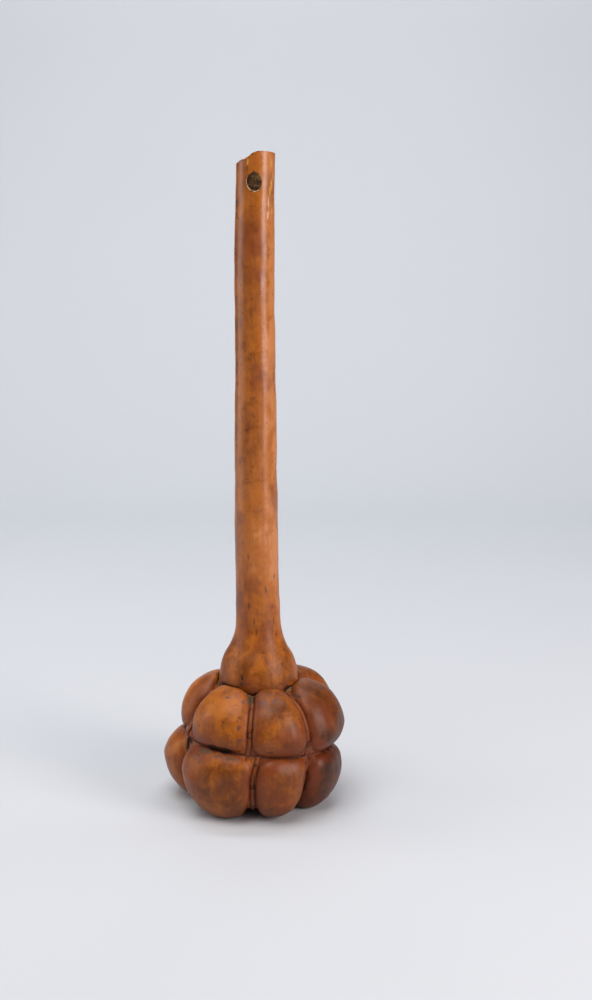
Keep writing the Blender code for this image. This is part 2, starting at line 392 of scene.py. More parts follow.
def body_ring(length, azimuth):
    """Outer surface of the body along one ring: points, distances to groove and crease, and tone."""
    upper = length < WAIST
    tier = np.array(UPPER_TIER if upper else LOWER_TIER)
    waist = waist_length(azimuth)
    along = along_core(length, waist)
    radius, height, out, axis = core_at(along)
    reach = np.maximum(radius, LEAST_REACH)
    index, half, offset = lobe_cells(azimuth, tier)
    s = offset / np.maximum(half - np.degrees(GROOVE_HALF / reach), 1)
    share = smoothstep(-0.9, 0.9, s)
    press = across_lobe(tier, PRESS, index, share)
    middle, u, (tight, steep_end) = along_lobe(length, along, waist)
    if not upper:
        s = s * (1 + UNDERSIDE_TAPER * smoothstep(0.0, 0.7, u))
    at_waist = (along.mean() < middle.mean()) != upper
    floor = groove_floor(across_lobe(tier, FLOOR, index, share), u, azimuth, upper, at_waist)
    face = dome(s, u, LOBE_CORNERS + tight * press, press, steep_end)

    to_side = (half - np.abs(offset)) * np.radians(1) * reach
    groove = np.minimum(to_side, np.abs(along - waist) + WAIST_OFFSET)
    groove = groove + FAR * smoothstep(*GROOVES_FADE, along)
    swelling = floor + (tier[index, PEAK] - floor) * face
    swelling = swelling + cord_print(groove) - crease_pinch(along, CREASE_HALF[0])
    radius = radius + np.cos(out) * swelling
    height = height + np.sin(out) * swelling
    height = height + (crease_height(azimuth) - CREASE) * (1 - smoothstep(0, CREASE_FADE[0], along))
    if not upper:
        lift = smoothstep(0.2, 0.9, u) * (1 - np.abs(np.clip(s, -1, 1)) ** 3)
        height = height + tier[index, LIFT] * lift
    points = round_axis(axis, radius, height, azimuth)
    return points, groove, along, lobe_tone(tier[index, TONE], groove, along, u)


def inner_ring(length, azimuth):
    """The hollow's wall: the outer surface smoothed and moved in."""
    outer, _, along, _ = body_ring(length, azimuth)
    radius, height, out, axis = core_at(along)
    core = round_axis(axis, radius, height, azimuth)
    turn = np.radians(azimuth)
    outward = np.stack((np.cos(out) * np.sin(turn), -np.cos(out) * np.cos(turn), np.sin(out)), 1)
    return core + (outer - core) * INNER_RELIEF - outward * BODY_WALL


# ---------------------------------------------------------------- stem
def stem_ring(height, azimuth, inset=0.0):
    """Bulb and neck along one ring, inset by the wall where it is the inner side."""
    rise = np.full(len(azimuth), height)
    near_crease = 1 - smoothstep(CREASE, CREASE + CREASE_FADE[1], height)
    rise = rise + (crease_height(azimuth) - CREASE) * near_crease
    near_rim = np.clip(1 - (HEIGHT - height) / RIM_ZONE, 0, 1)
    rise = rise + (rim_height(azimuth) - HEIGHT) * near_rim
    radius = np.interp(rise, STEM_CURVE[:, 1], STEM_CURVE[:, 0]) - inset
    if inset == 0:
        radius = radius - crease_pinch(height - CREASE, CREASE_HALF[1])
    sway = [np.interp(rise, SWAY_CURVE[:, 0], SWAY_CURVE[:, k]) for k in (1, 2)]
    turn = np.radians(azimuth)
    return np.stack((sway[0] + radius * np.sin(turn), sway[1] - radius * np.cos(turn), rise), 1)


def toward(azimuth, side):
    """1 at a side of the stem, fading out around it. A side is its azimuth and spread in degrees."""
    middle, spread = side
    return np.exp(-(((azimuth - middle) / spread) ** 2))


def stem_tone(height, azimuth):
    """The neck is lighter along one side, partly worn and partly painted light from the lamp there, and the
    bulb is darker, most of all at its right.
    """
    # lighter side of the neck: partly wear, partly painted light from the lamp on that side
    worn = toward(azimuth, WORN_AND_LIT_SIDE) * smoothstep(0.15, 0.24, height)
    bulb = 1 - smoothstep(0.14, 0.20, height)
    darker = BULB_DARKER + BULB_DARKEST * toward(azimuth, BULB_DARK_SIDE)
    return STEM_TONE + WORN_AND_LIT_AMOUNT * worn - darker * bulb


# ---------------------------------------------------------------- rings into one mesh
def azimuths(count):
    """Evenly spaced azimuths in degrees, from the back around the left."""
    return np.arange(count) * 360.0 / count - 180


def row_positions(stops):
    """Row positions through (position, rows up to it) stops, evenly spaced between them."""
    rows = [stops[0][0]]
    for (start, _), (end, count) in zip(stops, stops[1:]):
        rows.extend(np.linspace(start, end, count + 1)[1:])
    return rows


# Where the rings lie: along the core for the body, and by height for the bulb and the neck. A number
# beside a position is the ring's number of points.
BODY_ROWS = row_positions((
    (0.0, 0), (0.004, 7), (0.012, 7), (0.052, 21), (0.0600, 7), (0.0680, 12), (0.076, 7),
    (0.112, 19), (0.1520, 15),
))
UNDERSIDE_ROWS = ((0.158, 240), (0.164, 120), (0.171, 60), (0.178, 30))
BULB_ROWS = row_positions(((CREASE, 0), (0.1185, 5), (0.1260, 6), (NECK_FOOT, 15)))
NECK_ROWS = row_positions(((NECK_FOOT, 0), (0.2000, 8), (0.560, 54), (0.590, 30), (HEIGHT, 9)))
INNER_NECK_ROWS = row_positions(((HEIGHT - 0.0015, 0), (0.590, 5), (0.560, 16), (NECK_FOOT, 30)))[:-1]
INNER_BULB_ROWS = row_positions(((NECK_FOOT, 0), (CREASE + 0.004, 8)))
INNER_BODY_STOPS = ((0.006, 0), (WAIST, 12), (0.150, 18))
INNER_BODY_ROWS = [(row, INNER_COLUMNS) for row in row_positions(INNER_BODY_STOPS)]
INNER_BODY_ROWS += [(0.160, 60), (0.170, 30)]
RIM_INSETS = (0.0006, 0.0015, 0.0024, NECK_WALL)  # the rings over the cut edge, from the skin inward
RIM_WEAR = 0.0004  # how much lower the last of them lies
FAR = 0.02  # the distance to a groove or crease where there is none near


def build_rings():
    """All rings from the underside over the rim to the inner floor, with their attributes."""
    rings = []

    def add(points, part, groove=FAR, crease=FAR, tone=STEM_TONE):
        shape = np.ones(len(points))
        rings.append((points, part, (groove * shape, crease * shape, tone * shape)))

    for length, count in reversed(UNDERSIDE_ROWS):
        points, groove, along, tone = body_ring(length, azimuths(count))
        add(points, "skin", groove, along, tone)
    for length in reversed(BODY_ROWS):
        points, groove, along, tone = body_ring(length, azimuths(BODY_COLUMNS))
        add(points, "skin", groove, along, tone)
    for height in BULB_ROWS[1:]:
        azimuth = azimuths(BODY_COLUMNS)
        add(stem_ring(height, azimuth), "skin", crease=height - CREASE, tone=stem_tone(height, azimuth))
    for height in NECK_ROWS[1:]:
        azimuth = azimuths(NECK_COLUMNS)
        add(stem_ring(height, azimuth), "skin", tone=stem_tone(height, azimuth))
    for inset in RIM_INSETS:
        points = stem_ring(HEIGHT, azimuths(NECK_COLUMNS), inset)
        points[:, 2] -= RIM_WEAR * (inset == NECK_WALL)
        add(points, "cut")
    for height in INNER_NECK_ROWS:
        count = NECK_COLUMNS if height > INNER_FINE_FROM else INNER_COLUMNS
        add(stem_ring(height, azimuths(count), NECK_WALL), "inside")
    for height in INNER_BULB_ROWS:
        wall = np.interp(height, (CREASE, NECK_FOOT), (BODY_WALL, NECK_WALL))
        add(stem_ring(height, azimuths(INNER_COLUMNS), wall), "inside")
    for length, count in INNER_BODY_ROWS:
        add(inner_ring(length, azimuths(count)), "inside")
    return rings


def stitch(first, first_count, second, second_count):
    """Faces between two rings, where one may have twice the points of the other."""
    faces = []
    if first_count == second_count:
        for i in range(first_count):
            j = (i + 1) % first_count
            faces.append((first + i, first + j, second + j, second + i))
    elif first_count == 2 * second_count:
        for i in range(second_count):
            j = (i + 1) % second_count
            a, b, c = 2 * i, 2 * i + 1, (2 * i + 2) % first_count
            faces.append((first + a, first + b, first + c, second + j, second + i))
    else:
        for i in range(first_count):
            j = (i + 1) % first_count
            a, b, c = 2 * i, 2 * i + 1, (2 * i + 2) % second_count
            faces.append((first + i, first + j, second + c, second + b, second + a))
    return faces


def uneven(points, part):
    """Adds the natural unevenness of a grown rind to a ring of points."""
    centre = points.mean(0)
    outward = points - centre
    outward[:, 2] *= 0.4
    outward /= np.linalg.norm(outward, axis=1)[:, None] + 1e-9
    amount = sum(
        roughened(points * (1, 1, drawn_out), waves, reach, seed)
        for waves, reach, seed, drawn_out in UNEVENNESS[part]
    )
    return points + outward * amount[:, None]


def gourd_mesh():
    """The whole rind as one closed mesh, with its masks as point attributes."""
    rings = build_rings()
    counts = [len(points) for points, _, _ in rings]
    starts = [sum(counts[:k]) for k in range(len(counts))]
    faces = [tuple(reversed(range(counts[0])))]
    materials = [SLOTS["skin"]]
    for k in range(len(rings) - 1):
        made = stitch(starts[k], counts[k], starts[k + 1], counts[k + 1])
        faces.extend(made)
        materials.extend([SLOTS[rings[k + 1][1]]] * len(made))
    faces.append(tuple(range(starts[-1], starts[-1] + counts[-1])))
    materials.append(SLOTS["inside"])
    points = np.vstack([uneven(ring, part) for ring, part, _ in rings])
    points[:, :2] += NECK_AT
    points[:, 2] = settled(points[:, 2])
    mesh = bpy.data.meshes.new("gourd_rind")
    mesh.from_pydata(points.tolist(), [], faces)
    mesh.polygons.foreach_set("material_index", materials)
    for k, (name, unit) in enumerate((("groove", 1000), ("crease", 1000), ("tone", 1))):
        attribute = mesh.attributes.new(name, "FLOAT", "POINT")
        attribute.data.foreach_set("value", unit * np.concatenate([masks[k] for _, _, masks in rings]))
    mesh.shade_smooth()
    mesh.update()
    return mesh


def settled(height):
    """Wears the underside flat at the ground, to no more than WEAR_SINK below it."""
    worn = (height + np.sqrt(height**2 + WEAR_EASE**2)) / 2 - WEAR_SINK
    return np.where(height < WEAR_ZONE, worn, height)


# ---------------------------------------------------------------- materials
MIX_SHARE, MIX_FIRST, MIX_SECOND = 0, 6, 7  # a Mix node's inputs when it mixes colours
MIX_COLOUR = 2  # and its output


class Graph:
    """A short way to add nodes: inputs are given by name or number, as values or as sockets."""

    def __init__(self, name):
        self.material = bpy.data.materials.new(name)
        self.material.use_nodes = True
        self.tree = self.material.node_tree
        self.shader = self.tree.nodes["Principled BSDF"]

    def add(self, kind, inputs=(), output=0, **settings):
        node = self.tree.nodes.new("ShaderNode" + kind)
        for name, value in settings.items():
            setattr(node, name, value)
        for key, value in dict(inputs).items():
            self.put(node.inputs[key], value)
        return node.outputs[output]

    def put(self, socket, value):
        if isinstance(value, bpy.types.NodeSocket):
            self.tree.links.new(value, socket)
        elif isinstance(value, tuple) and socket.type == "RGBA":
            socket.default_value = (*value, 1)
        else:
            socket.default_value = value

    def attribute(self, name):
        return self.add("Attribute", output="Fac", attribute_name=name)

    def place(self):
        """The point's own place on the object, in metres."""
        return self.add("TexCoord", output="Object")

    def stretched(self, scale):
        """The place scaled along each axis: a small last value draws a pattern out along the height."""
        return self.add("VectorMath", {0: self.place(), 1: scale}, operation="MULTIPLY")

    def noise(self, scale, detail=4.0, roughness=0.55, distortion=0.0, vector=None):
        return self.add("TexNoise", {
            "Vector": vector or self.place(), "Scale": scale, "Detail": detail,
            "Roughness": roughness, "Distortion": distortion,
        }, output="Fac")

    def ramp(self, value, low, high, to_low=0.0, to_high=1.0):
        """Value eased from low..high to to_low..to_high, held outside."""
        return self.add("MapRange", {"Value": value, "From Min": low, "From Max": high,
                                     "To Min": to_low, "To Max": to_high},
                        interpolation_type="SMOOTHSTEP")

    def math(self, operation, a, b=0.0, c=0.0):
        return self.add("Math", {0: a, 1: b, 2: c}, operation=operation)

    def mix(self, share, first, second):
        """Colour between the first, at share 0, and the second, at share 1."""
        return self.add("Mix", {MIX_SHARE: share, MIX_FIRST: first, MIX_SECOND: second},
                        output=MIX_COLOUR, data_type="RGBA")

    def bump(self, height, strength, distance, normal=None):
        inputs = {"Height": height, "Strength": strength, "Distance": distance}
        if normal is not None:
            inputs["Normal"] = normal
        return self.add("Bump", inputs)


def on_stem(azimuth, height):
    """A point on the neck or bulb, in the row frame."""
    point = stem_ring(height, np.array([float(azimuth)]))[0]
    return point[0] + NECK_AT[0], point[1] + NECK_AT[1], height


# Linear colours of the rind, from its shaded brown to its polished orange, and of the dirt on it.
DEEP_BROWN = (0.036, 0.0080, 0.0014)
BROWN = (0.150, 0.038, 0.0050)
ORANGE = (0.380, 0.108, 0.0080)
# pale pink of the neck's lighter side: partly wear, partly a painted sheen
WORN_AND_SHEEN = (0.50, 0.185, 0.0550)
RED_BROWN = (0.17, 0.034, 0.009)
DUSTY_MAUVE = (0.13, 0.058, 0.042)
# black of soot, also used for painted shadow in some folds
SOOT_AND_SHADOW = (0.012, 0.0085, 0.007)
STAIN = (0.060, 0.017, 0.007)
GREY_DUST = (0.084, 0.062, 0.042)
DIRT_MAUVE = (0.075, 0.040, 0.045)
OCHRE = (0.54, 0.26, 0.050)
PALE_RIND = (0.60, 0.42, 0.28)

# Of the hollow, from its shaded fibres to its dry crumbs, of the cut edge, and of the paper.
HOLLOW_DARK = (0.050, 0.022, 0.008)
HOLLOW_TAN = (0.330, 0.180, 0.070)
HOLLOW_CRUMB = (0.46, 0.30, 0.16)
CORK_DARK = (0.34, 0.18, 0.075)
CORK_PALE = (0.68, 0.46, 0.27)
CORK_DIRT = (0.085, 0.040, 0.018)
PAPER_SHADE = (0.535, 0.560, 0.600)
PAPER_LIGHT = (0.550, 0.575, 0.615)

# Marks on the stem: azimuth, height, half width, half height, strength.
STEM_STREAKS = (
    (-23.6, 0.5860, 0.0009, 0.0040, 1.1), (-26.0, 0.5914, 0.0008, 0.0022, 0.9),
    (-6.4, 0.4737, 0.0007, 0.0035, 0.7), (15.9, 0.4640, 0.0010, 0.0026, 0.75),
    (11.9, 0.5051, 0.0022, 0.0045, 0.4),
    (17.2, 0.4100, 0.0009, 0.0075, 0.65), (-10.9, 0.3993, 0.0012, 0.0036, 0.5),
    (-2.6, 0.3859, 0.0016, 0.0022, 0.8), (34.3, 0.3629, 0.0008, 0.0040, 0.7),
    (-16.5, 0.4349, 0.0008, 0.0030, 0.6), (-52.0, 0.2721, 0.0006, 0.0110, 0.6),
    (33.1, 0.2554, 0.0007, 0.0050, 0.65), (10.1, 0.2431, 0.0014, 0.0020, 0.7),
    (-19.3, 0.2382, 0.0008, 0.0032, 0.6), (10.5, 0.1514, 0.0016, 0.0014, 0.8),
    (-50.1, 0.1594, 0.0030, 0.0016, 0.45), (-8.7, 0.1745, 0.0012, 0.0050, 0.5),
    (-26.8, 0.1532, 0.0034, 0.0009, 0.7), (-14.0, 0.1450, 0.0008, 0.0045, 0.7),
    (24.0, 0.1560, 0.0009, 0.0060, 0.6), (-38.0, 0.1480, 0.0008, 0.0050, 0.6),
    (-21.0, 0.2400, 0.0014, 0.0060, 0.8), (-31.0, 0.2127, 0.0010, 0.0090, 0.9),
    (-21.0, 0.1937, 0.0034, 0.0070, 0.8), (-8.0, 0.1790, 0.0012, 0.0080, 1.0),
    (-3.0, 0.1690, 0.0014, 0.0080, 0.9), (24.0, 0.2096, 0.0022, 0.0070, 0.8),
    (43.0, 0.1925, 0.0014, 0.0040, 0.8), (46.0, 0.1793, 0.0011, 0.0085, 0.9),
    (50.0, 0.1660, 0.0020, 0.0070, 0.8), (54.0, 0.2208, 0.0009, 0.0060, 0.8),
    (28.0, 0.2600, 0.0009, 0.0090, 0.7), (-44.0, 0.1560, 0.0012, 0.0060, 0.7),
    (42.0, 0.1400, 0.0024, 0.0040, 0.8), (-52.0, 0.1380, 0.0010, 0.0050, 0.8),
    (118.0, 0.3300, 0.0010, 0.0060, 0.6), (170.0, 0.4300, 0.0012, 0.0050, 0.6),
    (215.0, 0.2700, 0.0010, 0.0065, 0.6), (245.0, 0.5000, 0.0012, 0.0030, 0.7),
    (150.0, 0.1500, 0.0018, 0.0024, 0.7), (200.0, 0.1900, 0.0010, 0.0055, 0.6),
)

# Where the skin has flaked to a golden layer, and pale scrapes. Same columns.
OCHRE_MARKS = (
    (-22.2, 0.5914, 0.0013, 0.0046, 1.2), (57.5, 0.5905, 0.0016, 0.0050, 0.9),
    (57.5, 0.5725, 0.0024, 0.0085, 1.1), (49.5, 0.5665, 0.0014, 0.0070, 1.1),
    (66.0, 0.5800, 0.0010, 0.0100, 0.8),
)
PALE_MARKS = (
    (44.8, 0.5570, 0.0008, 0.0075, 1.3), (43.0, 0.5455, 0.0010, 0.0060, 1.2),
    (46.5, 0.5520, 0.0006, 0.0110, 0.8), (60.0, 0.5500, 0.0005, 0.0070, 0.6),
)

# Black marks: a thin line along the low side of the cut rim, and one streak on the bulb. Same columns.
BLACK_MARKS = (
    (-75.0, 0.5901, 0.0050, 0.0007, 1.3), (-55.0, 0.5919, 0.0042, 0.0007, 1.3),
    (-38.0, 0.5932, 0.0036, 0.0007, 1.3), (-22.0, 0.5955, 0.0032, 0.0007, 1.3),
    (-8.0, 0.5985, 0.0030, 0.0007, 1.2), (8.0, 0.6002, 0.0030, 0.0006, 0.9),
    (-23.6, 0.1300, 0.0016, 0.0046, 1.3), (-23.6, 0.1235, 0.0016, 0.0034, 1.1),
)

# Patches on the body: x, y, z, half width, half height, strength.
# Black patches in the folds: partly soot, partly painted shadow, as the two under the lower edge of the
# upper front-left lobe.
SOOT_AND_SHADOW_PATCHES = (
    (-0.0262, -0.0240, 0.1200, 0.0120, 0.0060, 1.2), (-0.0190, -0.0330, 0.1205, 0.0110, 0.0060, 1.2),
    (-0.0340, -0.0640, 0.0735, 0.0120, 0.0055, 1.4), (-0.0250, -0.0690, 0.0730, 0.0110, 0.0055, 1.4),
    (-0.0588, -0.0356, 0.0655, 0.0060, 0.0090, 1.0), (0.0310, -0.0300, 0.1178, 0.0090, 0.0040, 1.0),
    (0.0430, -0.0393, 0.1135, 0.0030, 0.0030, 0.9),
)
DUST_PATCHES = (
    (-0.0440, -0.0620, 0.0670, 0.0150, 0.0055, 0.9), (-0.0320, -0.0716, 0.0650, 0.0140, 0.0055, 1.0),
    (-0.0200, -0.0760, 0.0645, 0.0140, 0.0050, 1.0), (-0.0022, -0.0490, 0.1133, 0.0045, 0.0075, 1.0),
    (0.0085, -0.0480, 0.1180, 0.0120, 0.0050, 1.0), (-0.0318, -0.0120, 0.1165, 0.0050, 0.0070, 1.0),
    (0.0426, -0.0305, 0.1185, 0.0060, 0.0090, 1.1), (0.0402, -0.0362, 0.1152, 0.0050, 0.0060, 1.0),
    (0.0190, -0.0440, 0.1190, 0.0100, 0.0040, 0.9),
)
MAUVE_PATCHES = (
    (-0.0225, -0.0517, 0.1159, 0.0055, 0.0022, 0.9), (-0.0082, -0.0566, 0.1138, 0.0045, 0.0040, 0.9),
    (-0.0119, -0.0719, 0.0947, 0.0030, 0.0040, 1.3), (-0.0138, -0.0690, 0.1003, 0.0016, 0.0016, 1.2),
    (-0.0114, -0.0755, 0.0844, 0.0036, 0.0022, 1.2), (-0.0236, -0.0724, 0.0873, 0.0016, 0.0014, 0.9),
    (0.0086, -0.0603, 0.1142, 0.0085, 0.0022, 1.0), (0.0194, -0.0598, 0.1150, 0.0080, 0.0020, 0.9),
    (-0.0560, -0.0500, 0.0640, 0.0050, 0.0030, 0.8), (0.0539, -0.0455, 0.1070, 0.0080, 0.0030, 0.5),
)
STAIN_PATCHES = (
    (-0.0219, -0.0740, 0.0735, 0.0110, 0.0036, 0.9), (0.0160, -0.0785, 0.0735, 0.0060, 0.0024, 1.3),
    (0.0652, -0.0396, 0.0591, 0.0050, 0.0025, 1.0), (0.0416, -0.0638, 0.0998, 0.0014, 0.0020, 1.2),
    (-0.0057, -0.0741, 0.0661, 0.0014, 0.0036, 1.3), (0.0429, -0.0686, 0.0706, 0.0030, 0.0016, 1.0),
    (-0.0498, -0.0616, 0.0649, 0.0050, 0.0020, 0.9), (0.0173, -0.0334, 0.1384, 0.0012, 0.0030, 0.7),
    (0.0264, -0.0320, 0.1225, 0.0040, 0.0030, 0.7), (0.0521, -0.0537, 0.0569, 0.0014, 0.0030, 0.9),
)


class RindGraph(Graph):
    """The rind's graph, with the patterns and masks that several of its layers share."""

    def __init__(self):
        super().__init__("polished_rind")
        shift = self.add("TexNoise", {"Vector": self.place(), "Scale": 420.0, "Detail": 2.0}, output="Color")
        shift = self.add("VectorMath", {0: shift, 1: (0.5, 0.5, 0.5)}, operation="SUBTRACT")
        shift = self.add("VectorMath", {0: shift, "Scale": 0.0022}, operation="SCALE")
        self.ragged = self.add("VectorMath", {0: self.place(), 1: shift}, operation="ADD")
        self.fibre = self.noise(260.0, 3.0, 0.6, 0.0, self.stretched((1.0, 1.0, 0.05)))
        self.cloud = self.noise(21.0, 5.0, 0.6, 0.6)
        self.mottle = self.noise(95.0, 5.0, 0.65, 0.5)
        self.grain = self.centred(self.noise(560.0, 8.0, 0.8, 0.5))
        self.fine_grain = self.centred(self.noise(900.0, 6.0, 0.75, 0.4))
        self.polish = self.ramp(self.add("SeparateXYZ", {0: self.place()}, output=2), 0.14, 0.26)
        self.groove = self.math("MULTIPLY_ADD", self.centred(self.mottle), 1.6, self.attribute("groove"))
        self.crease = self.math("MULTIPLY_ADD", self.centred(self.mottle), 1.8, self.attribute("crease"))
        self.line = self.math("MULTIPLY", self.ramp(self.groove, 1.4, 2.0),
                              self.ramp(self.groove, 2.3, 3.0, 1.0, 0.0))
        self.nook = self.near_fold(self.ramp(self.groove, 1.5, 5.0, 1.0, 0.0),
                                   self.ramp(self.crease, 1.0, 6.0, 1.0, 0.0))
        self.grime = self.math("MULTIPLY", self.nook, self.ramp(self.noise(75.0, 6.0, 0.7, 0.6), 0.50, 0.62))

    def centred(self, pattern):
        """A pattern around 0 and not around a half."""
        return self.math("SUBTRACT", pattern, 0.5)

    def near_fold(self, groove, crease):
        """A mask near the grooves or near the crease under the bulb, whichever is more."""
        return self.math("MAXIMUM", groove, crease)

    def spot(self, centre, radii, edge=0.35):
        """A soft ellipsoid mask around a point on the surface."""
        near = self.add("VectorMath", {0: self.ragged, 1: centre}, operation="SUBTRACT")
        near = self.add("VectorMath", {0: near, 1: radii}, operation="DIVIDE")
        near = self.add("VectorMath", {0: near}, output="Value", operation="LENGTH")
        return self.ramp(near, edge, 1.0, 1.0, 0.0)

    def spots(self, rows, depth=0.004, edge=0.35):
        """All spots of one kind: rows are (x, y, z, half width, half height, strength)."""
        total = None
        for x, y, z, wide, tall, strength in rows:
            mask = self.spot((x, y, z), (wide, max(wide, depth), tall), edge)
            mask = self.math("MULTIPLY", mask, strength)
            total = mask if total is None else self.math("MAXIMUM", total, mask)
        return total


def grown_colour(g):
    """Brown to polished orange by tone, with streaks, clouds, reddish parts and a mauve bloom."""
    streak = g.noise(34.0, 6.0, 0.62, 0.4, g.stretched((1.0, 1.0, 0.085)))
    tone = g.attribute("tone")
    for pattern, amount in ((streak, 0.62), (g.cloud, 0.85), (g.mottle, 0.66), (g.fibre, 0.26)):
        tone = g.math("MULTIPLY_ADD", g.centred(pattern), amount, tone)
    colour = g.mix(g.ramp(tone, 0.05, 0.55), DEEP_BROWN, BROWN)
    colour = g.mix(g.ramp(tone, 0.42, 0.86), colour, ORANGE)
    # the highest tones turn pale pink: on the neck's lighter side partly wear, partly a painted sheen
    colour = g.mix(g.ramp(tone, 0.84, 1.10), colour, WORN_AND_SHEEN)
    redness = g.ramp(g.noise(30.0, 3.0, 0.5, 0.3), 0.48, 0.64, 0.0, 0.58)
    colour = g.mix(redness, colour, RED_BROWN)
    mauve = g.ramp(g.noise(44.0, 6.0, 0.7, 0.8), 0.54, 0.70, 0.0, 0.45)
    mauve = g.math("MULTIPLY", mauve, g.math("MULTIPLY_ADD", g.polish, -0.7, 1.0))
    return g.mix(mauve, colour, DUSTY_MAUVE)


def handled_colour(g, colour):
    """Crowds of dark specks and scuffs, and scratches along the height."""
    crowd = g.ramp(g.noise(38.0, 3.0), 0.50, 0.70)
    speck = g.ramp(g.noise(430.0, 3.0, 0.6), 0.61, 0.68)
    colour = g.mix(g.math("MULTIPLY", speck, g.math("MULTIPLY_ADD", crowd, 0.65, 0.18)), colour, STAIN)
    scuff = g.ramp(g.noise(150.0, 6.0, 0.75, 1.2), 0.55, 0.64, 0.0, 0.65)
    colour = g.mix(g.math("MULTIPLY", scuff, crowd), colour, DEEP_BROWN)
    scratch = g.ramp(g.noise(190.0, 4.0, 0.65, 0.3, g.stretched((1.0, 1.0, 0.14))), 0.60, 0.68, 0.0, 0.45)
    return g.mix(g.math("MULTIPLY", scratch, g.ramp(g.cloud, 0.38, 0.60)), colour, STAIN)


def folded_colour(g, colour):
    """Redder valleys, the cord's dark lines, and grime and dust where the rind folds in."""
    colour = g.mix(g.ramp(g.groove, 2.0, 13.0, 0.60, 0.0), colour, RED_BROWN)
    line = g.math("MULTIPLY", g.line, g.ramp(g.cloud, 0.30, 0.60, 0.45, 0.85))
    colour = g.mix(line, colour, STAIN)
    colour = g.mix(g.ramp(g.crease, 0.8, 2.4, 0.80, 0.0), colour, STAIN)
    colour = g.mix(g.math("MULTIPLY", g.grime, 0.75), colour, SOOT_AND_SHADOW)
    dust = g.math("MULTIPLY", g.nook, g.ramp(g.noise(58.0, 5.0, 0.7, 0.4), 0.56, 0.68))
    return g.mix(g.math("MULTIPLY", dust, 0.60), colour, GREY_DUST)


def patched_colour(g, colour):
    """The body's largest stains, dust, and black patches that are soot and partly painted shadow, and a mask
    of where they make the rind matte.
    """
    for rows, dirt in ((MAUVE_PATCHES, DIRT_MAUVE), (STAIN_PATCHES, STAIN)):
        mask = g.math("MULTIPLY_ADD", g.fine_grain, 2.6, g.spots(rows, 0.007, 0.0))
        colour = g.mix(g.ramp(mask, 0.35, 0.75, 0.0, 0.75), colour, dirt)
    corner = g.near_fold(g.ramp(g.groove, 2.5, 8.5, 1.0, 0.0), g.ramp(g.crease, 1.0, 9.0, 1.0, 0.0))
    matte = g.grime
    # dust, then black patches that are partly soot and partly painted shadow in the folds
    for rows, dirt in ((DUST_PATCHES, GREY_DUST), (SOOT_AND_SHADOW_PATCHES, SOOT_AND_SHADOW)):
        mask = g.math("MULTIPLY", corner, g.spots(rows, 0.014, 0.3))
        mask = g.ramp(g.math("MULTIPLY_ADD", g.fine_grain, 2.0, mask), 0.22, 0.72, 0.0, 0.84)
        colour = g.mix(mask, colour, dirt)
        matte = g.math("MAXIMUM", matte, mask)
    return colour, matte


def marked_colour(g, colour):
    """The stem's flakes, scrapes, streaks and black marks."""
    for rows, mark, cover in ((OCHRE_MARKS, OCHRE, 0.95), (PALE_MARKS, PALE_RIND, 0.85),
                              (STEM_STREAKS, STAIN, 0.68), (BLACK_MARKS, SOOT_AND_SHADOW, 0.88)):
        placed = [(*on_stem(azimuth, height), *size) for azimuth, height, *size in rows]
        mask = g.math("MULTIPLY_ADD", g.grain, 1.5, g.spots(placed, edge=0.0))
        colour = g.mix(g.ramp(mask, 0.15, 0.80, 0.0, cover), colour, mark)
    return colour


def rind_material():
    """Polished, handled gourd rind: grain, mottling, dark specks, scars, dirt in the grooves and some
    painted shadow in the folds.
    """
    g = RindGraph()
    colour = folded_colour(g, handled_colour(g, grown_colour(g)))
    colour, matte = patched_colour(g, colour)
    g.put(g.shader.inputs["Base Color"], marked_colour(g, colour))
    rough = g.math("MULTIPLY_ADD", g.centred(g.mottle), 0.34, 0.40)
    for mask, rougher in ((g.polish, -0.09), (g.line, 0.3), (matte, 0.45)):
        rough = g.math("MULTIPLY_ADD", mask, rougher, rough)
    g.put(g.shader.inputs["Roughness"], rough)
    gloss = g.math("MULTIPLY_ADD", g.polish, 0.30, 0.24)
    g.put(g.shader.inputs["Specular IOR Level"], g.math("MULTIPLY_ADD", matte, -0.22, gloss))
    relief = g.bump(g.noise(130.0, 4.0, 0.6), 0.35, 0.0006)
    relief = g.bump(g.fibre, 0.30, 0.00025, relief)
    relief = g.bump(g.noise(620.0, 3.0, 0.7), 0.20, 0.00015, relief)
    g.put(g.shader.inputs["Normal"], relief)
    return g.material


def inside_material():
    """The dry, fibrous inner face, dark with age."""
    g = Graph("dry_inside")
    fibres = g.noise(260.0, 6.0, 0.75, 1.0, g.stretched((1.0, 1.0, 0.70)))
    crumbs = g.noise(520.0, 4.0, 0.7)
    colour = g.mix(g.ramp(fibres, 0.35, 0.65), HOLLOW_DARK, HOLLOW_TAN)
    colour = g.mix(g.ramp(crumbs, 0.55, 0.70), colour, HOLLOW_CRUMB)
    g.put(g.shader.inputs["Base Color"], colour)
    g.shader.inputs["Roughness"].default_value = 0.92
    g.put(g.shader.inputs["Normal"], g.bump(g.math("ADD", fibres, crumbs), 0.9, 0.0010))
    return g.material


def cut_material():
    """The rind's cut edge: pale and corky under the skin, dirty where it was handled."""
    g = Graph("cut_edge")
    grain = g.noise(480.0, 5.0, 0.65)
    dirt = g.noise(70.0, 4.0, 0.6)
    colour = g.mix(g.ramp(grain, 0.35, 0.65), CORK_DARK, CORK_PALE)
    colour = g.mix(g.ramp(dirt, 0.45, 0.62), colour, CORK_DIRT)
    g.put(g.shader.inputs["Base Color"], colour)
    g.shader.inputs["Roughness"].default_value = 0.85
    g.put(g.shader.inputs["Normal"], g.bump(grain, 0.7, 0.0005))
    return g.material


def paper_material():
    """Plain studio paper."""
    g = Graph("pale_paper")
    g.put(g.shader.inputs["Base Color"], g.mix(g.noise(3.0, 2.0), PAPER_SHADE, PAPER_LIGHT))
    g.shader.inputs["Roughness"].default_value = 0.9
    return g.material


